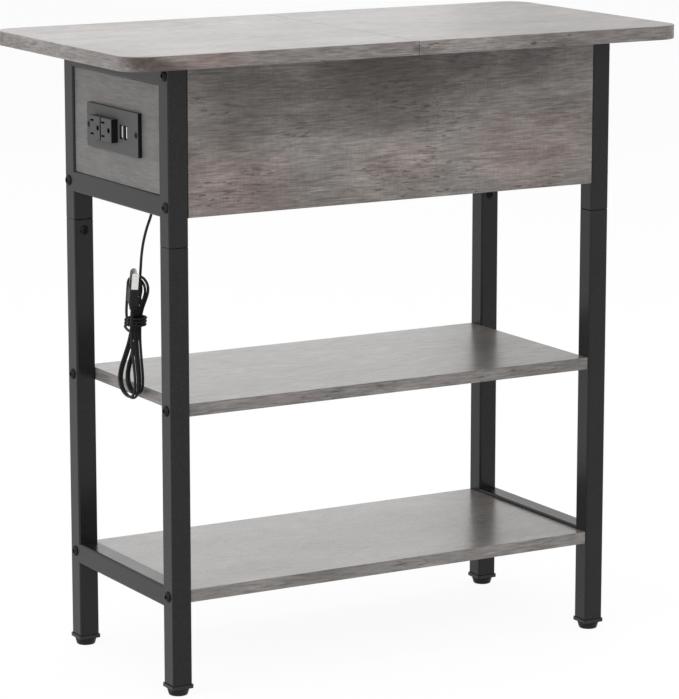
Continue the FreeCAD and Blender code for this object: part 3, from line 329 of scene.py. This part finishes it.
# Rear panel blotches: the dark ones in the upper part under the top's overhang are painted shade together
# with smudges; lighter, pinker ones lie lower down.
rear_smudges_and_painted_shade = [((0.08, 0.11, 0.56), (0.13, 0.06, 0.07), (0.5, 0.48, 0.465), 1.0),
               ((-0.16, 0.11, 0.5), (0.09, 0.06, 0.05), (0.62, 0.6, 0.585), 1.0),
               ((0.17, 0.11, 0.485), (0.1, 0.06, 0.05), (1.25, 1.1, 1.07), 0.9),
               ((-0.05, 0.11, 0.495), (0.1, 0.06, 0.06), (1.3, 1.2, 1.15), 0.9)]
rear_panel_laminate = laminate("rear_panel_laminate", shift=(1.3, 2.2, 0.4), gloss=0.45, depth=0.62,
                               stains_and_shade=rear_smudges_and_painted_shade, brown=(0.14, 0.125, 0.118))
finish_nodes(rear_panel_laminate, "rear_panel")
# Side panels: a darker, flatter copy of the same print, painted shade to offset the bright soft box on the
# left.
side_panel_laminate_painted_shade = laminate("side_panel_laminate_painted_shade", shift=(2.7, 0.9, 1.6), gloss=0.5, depth=0.35,
                               grey=(0.106, 0.102, 0.099), pale=(0.134, 0.129, 0.125),
                               brown=(0.122, 0.106, 0.102), smudge=(0.078, 0.074, 0.072))
finish_nodes(side_panel_laminate_painted_shade, "left_panel", "right_panel")
middle_shelf_laminate = laminate("middle_shelf_laminate", shift=(3.9, 1.8, 2.5), gloss=0.3, depth=0.7,
                                 coat=0.15, hatch=0.2, smudge=(0.1, 0.091, 0.086))
finish_nodes(middle_shelf_laminate, "middle_shelf")
lower_shelf_laminate = laminate("lower_shelf_laminate", shift=(5.2, 3.1, 0.8), gloss=0.28, depth=0.7,
                                coat=0.24, hatch=0.2, smudge=(0.105, 0.095, 0.09))
finish_nodes(lower_shelf_laminate, "lower_shelf")
compartment_floor_laminate = laminate("compartment_floor_laminate", shift=(6.4, 0.5, 3.3), gloss=0.5)
finish_nodes(compartment_floor_laminate, "compartment_floor")

# Board fixings: black button bolts through the legs reach zinc barrel nuts in the boards. Zinc screws
# hold the side panels in their frames, and zinc angles hold the fixed half of the top.
finish_nodes(black_oxide, "panel_bolts", "shelf_bolts")
finish_nodes(zinc_plate, "panel_barrel_nuts", "shelf_barrel_nuts", "side_panel_screws", "top_brackets",
             "bracket_screws")

# Lid hinges: nickel plated barrels pressed into both seam edges, with a curved link between them.
nickel = sprayed("nickel_plate", colour=(0.6, 0.57, 0.53), dust=(0.46, 0.44, 0.41), grain=320, gloss=0.26,
                 relief=0.04, metallic=1.0)
finish_nodes(nickel, "hinge_barrels_fixed", "hinge_barrels_lid", "hinge_links")

# Power outlet: a moulded plate and socket block in satin black with painted shade on their end faces, brass
# contacts behind the slots, plated
# USB shells darkened as painted shade round white insulators, and a housing with its charger board inside the
# storage box.
# The plate's and block's faces turned along Y take a near black colour: painted shade on their end faces.
outlet_black = sprayed("satin_black_polycarbonate", colour=(0.066, 0.066, 0.067),
                       dust=(0.084, 0.084, 0.085), grain=1800, gloss=0.45, relief=0.06, specular=0.1,
                       shaded_sides=(0.007, 0.007, 0.007))
brass = sprayed("contact_brass", colour=(0.62, 0.43, 0.17), dust=(0.4, 0.27, 0.1), grain=400, gloss=0.3,
                relief=0.04, metallic=1.0)
# USB shells: darkened steel, painted shade standing for the dark gap round each white insulator.
usb_shell_painted_shade = sprayed("usb_shell_steel_painted_shade", colour=(0.06, 0.06, 0.062), dust=(0.045, 0.045, 0.046), grain=500,
                    gloss=0.34, relief=0.03, metallic=1.0)
white_insulator = sprayed("white_insulator", colour=(0.82, 0.82, 0.81), dust=(0.72, 0.72, 0.7), grain=1500,
                          gloss=0.35, relief=0.03)
solder_mask = sprayed("green_solder_mask", colour=(0.02, 0.13, 0.05), dust=(0.03, 0.18, 0.08), grain=900,
                      gloss=0.35, relief=0.05)
finish_nodes(outlet_black, "outlet_cover_plate", "outlet_socket_block", "outlet_housing")
finish_nodes(black_oxide, "outlet_plate_screws")
finish_nodes(brass, "socket_contacts")
finish_nodes(usb_shell_painted_shade, "usb_shells")
finish_nodes(white_insulator, "usb_inserts")
finish_nodes(solder_mask, "usb_charger_board")

# Cord: thin black jacketed twin lead. It leaves the housing through a tapered sleeve, drops through a
# rubber grommet, hangs under the left rail and is looped into a hank that its own tail wraps.
cord_diameter = 0.0026
cord_exit = Vector((-0.207, -0.014, 0.4697))
lead_route = [cord_exit, Vector((-0.2074, -0.014, 0.4557)), Vector((-0.21, -0.0128, 0.4417)),
              Vector((-0.2146, -0.0112, 0.4287)), Vector((-0.219, -0.0124, 0.4157)),
              Vector((-0.2224, -0.0152, 0.4038))]
hank_waist = Vector((-0.2239, -0.0166, 0.3421))
hank_lean = math.radians(11)
hank_loops = 4
loop_points = 24
layer_pitch = 0.00305
waist_half_width = 0.0006
lower_half_widths = (0.0165, 0.0135, 0.019, 0.018, 0.018)
lower_lengths = (0.0735, 0.0715, 0.077, 0.075, 0.075)
upper_half_widths = (0.0125, 0.0125, 0.0125, 0.0092, 0.011)
upper_lengths = (0.0435, 0.0435, 0.0415, 0.0446, 0.043)
widest_share = 2 / math.sqrt(27)
wrap_half_width, wrap_half_depth = 0.0061, 0.0105
wrap_pitch, wrap_turns, wrap_points = 0.0033, 3, 12
wrap_top = 0.0049


def hank_point(across, up, out):
    """A point of the leaning hank, in the table's frame."""
    return hank_waist + Vector((-out, across * math.cos(hank_lean) - up * math.sin(hank_lean),
                                across * math.sin(hank_lean) + up * math.cos(hank_lean)))


def between(sizes, turn):
    """A size that eases from one loop's value to the next."""
    whole = min(max(int(turn), 0), hank_loops - 1)
    return sizes[whole] + (sizes[whole + 1] - sizes[whole]) * (turn - whole)


def loop_point(turn):
    """A point of the loops at a count of turns: the lower lobe in the first half, the upper in the second."""
    angle = 2 * math.pi * (turn % 1)
    low = math.sin(angle) > 0
    width = between(lower_half_widths if low else upper_half_widths, turn)
    length = between(lower_lengths if low else upper_lengths, turn)
    swell = math.cos(angle) * math.sin(angle) ** 2 / widest_share
    return hank_point(waist_half_width * math.cos(angle) + width * swell, -length * math.sin(angle),
                      layer_pitch * turn)


def wrap_point(turn):
    """A point of the tail's turns round the waist, from the outer side down."""
    angle = 2 * math.pi * (turn + 0.25)
    return hank_point(wrap_half_width * math.cos(angle), wrap_top - wrap_pitch * turn,
                      layer_pitch * hank_loops / 2 + wrap_half_depth * math.sin(angle))


hank_entry = [(0.0115, 0.0485, -0.0009), (0.0112, 0.039, -0.0009)]
tail_route = [(-0.0085, -0.0052, 0.0175), (-0.0163, -0.003, 0.0187), (-0.0172, 0.0052, 0.0193),
              (-0.017, 0.0125, 0.0197), (-0.017, 0.0169, 0.02), (-0.017, 0.0195, 0.02)]
loop_lead = 2
cord_route = lead_route + [hank_point(*spot) for spot in hank_entry]
for step in range(-loop_lead, hank_loops * loop_points - loop_lead):
    cord_route.append(loop_point(step / loop_points))
for step in range(wrap_turns * wrap_points + 1):
    cord_route.append(wrap_point(step / wrap_points))
cord_route += [hank_point(*spot) for spot in tail_route]

cord_curve = bpy.data.curves.new("power_cord", "CURVE")
cord_curve.dimensions = "3D"
spline = cord_curve.splines.new("NURBS")
spline.points.add(len(cord_route) - 1)
for point, place in zip(spline.points, cord_route):
    point.co = (*place, 1)
spline.order_u = 3
spline.use_endpoint_u = True
spline.resolution_u = 6
cord_curve.bevel_depth = cord_diameter / 2
cord_curve.bevel_resolution = 4
cord_curve.use_fill_caps = True
power_cord = bpy.data.objects.new("power_cord", cord_curve)
bpy.context.scene.collection.objects.link(power_cord)
jacket = sprayed("black_cord_jacket", colour=(0.006, 0.006, 0.006), dust=(0.014, 0.014, 0.014), grain=1200,
                 gloss=0.42, relief=0.06, specular=0.2)
cord_curve.materials.append(jacket)
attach(power_cord, "table")
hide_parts("cord_lead", "cord_hank")
rubber = sprayed("black_grommet_rubber", colour=(0.014, 0.014, 0.014), dust=(0.03, 0.03, 0.03), grain=1100,
                 gloss=0.62, relief=0.1)
finish_nodes(jacket, "cord_strain_relief", "inner_cord", "plug_body")
finish_nodes(rubber, "floor_grommet")
blade_nickel = sprayed("plug_blade_nickel", colour=(0.72, 0.72, 0.71), dust=(0.55, 0.55, 0.54), grain=500,
                       gloss=0.24, relief=0.04, metallic=1.0)
finish_nodes(blade_nickel, "plug_blades")

# Studio: a pale floor that keeps a soft shadow, a white surround, large soft boxes on the left, in front
# and above, and a weak one behind. The camera stands where the photograph was taken from.
floor_size = 14
floor_white = (0.94, 0.94, 0.94, 1)
floor_glow_share = 0.93
surround_light = 0.55
bpy.ops.object.select_all(action="DESELECT")
bpy.ops.mesh.primitive_plane_add(size=floor_size, location=(0, 0, 0))
floor = bpy.context.object
floor.name = "studio_floor"
floor_paper = bpy.data.materials.new("studio_paper")
floor_paper.use_nodes = True
paper = floor_paper.node_tree
paper_shader = paper.nodes["Principled BSDF"]
paper_shader.inputs["Base Color"].default_value = floor_white
paper_shader.inputs["Roughness"].default_value = 0.9
paper_shader.inputs["Specular IOR Level"].default_value = 0.0
paper_glow = add_node(paper, "Emission", Color=(1, 1, 1, 1), Strength=1.0)
paper_mix = paper.nodes.new("ShaderNodeMixShader")
paper_rays = paper.nodes.new("ShaderNodeLightPath")
seen = combine(paper, "MAXIMUM", paper_rays.outputs["Is Camera Ray"], paper_rays.outputs["Is Glossy Ray"])
seen = combine(paper, "MAXIMUM", seen, paper_rays.outputs["Is Transmission Ray"])
paper.links.new(combine(paper, "MULTIPLY", seen, floor_glow_share), paper_mix.inputs["Fac"])
paper.links.new(paper_shader.outputs["BSDF"], paper_mix.inputs[1])
paper.links.new(paper_glow.outputs["Emission"], paper_mix.inputs[2])
paper.links.new(paper_mix.outputs["Shader"], paper.nodes["Material Output"].inputs["Surface"])
floor.data.materials.append(floor_paper)

world = bpy.data.worlds.new("studio_surround")
bpy.context.scene.world = world
world.use_nodes = True
surround = world.node_tree
surround_rays = surround.nodes.new("ShaderNodeLightPath")
bright = combine(surround, "MAXIMUM", surround_rays.outputs["Is Camera Ray"],
                 surround_rays.outputs["Is Glossy Ray"])
bright = combine(surround, "MAXIMUM", bright, surround_rays.outputs["Is Transmission Ray"])
surround_strength = remap(surround, bright, 0, 1, surround_light, 1.0)
surround.links.new(surround_strength, surround.nodes["Background"].inputs["Strength"])
surround.nodes["Background"].inputs["Color"].default_value = (1, 1, 1, 1)


def soft_box(name, place, aim, width, height, power):
    """A rectangular lamp that points at a spot on the table."""
    lamp = bpy.data.lights.new(name, "AREA")
    lamp.shape = "RECTANGLE"
    lamp.size = width
    lamp.size_y = height
    lamp.energy = power
    holder = bpy.data.objects.new(name, lamp)
    holder.location = place
    holder.rotation_euler = (Vector(aim) - Vector(place)).to_track_quat("-Z", "Y").to_euler()
    bpy.context.scene.collection.objects.link(holder)


soft_box("left_soft_box", place=(-2.6, -0.5, 1.5), aim=(0, 0, 0.35), width=2.2, height=2.2, power=42)
soft_box("front_soft_box", place=(-0.7, -2.7, 2.5), aim=(0, 0, 0.35), width=2.0, height=1.6, power=44)
soft_box("top_soft_box", place=(0.2, 0.3, 2.8), aim=(0, 0, 0.5), width=2.0, height=2.0, power=40)
soft_box("rear_soft_box", place=(1.1, 3.4, 1.05), aim=(-0.2, 0, 0.6), width=2.0, height=1.1, power=4)

camera_place = (-1.6267, -2.8283, 0.9306)
camera_dip = 11.115
camera_turn = 29.914
sensor_width, focal_length = 36, 174.81
camera_lens = bpy.data.cameras.new("photo_camera")
camera_lens.sensor_width = sensor_width
camera_lens.lens = focal_length
camera = bpy.data.objects.new("photo_camera", camera_lens)
camera.location = camera_place
camera.rotation_euler = (math.radians(90 - camera_dip), 0, math.radians(-camera_turn))
bpy.context.scene.collection.objects.link(camera)
bpy.context.scene.camera = camera
bpy.context.scene.view_settings.view_transform = "Standard"
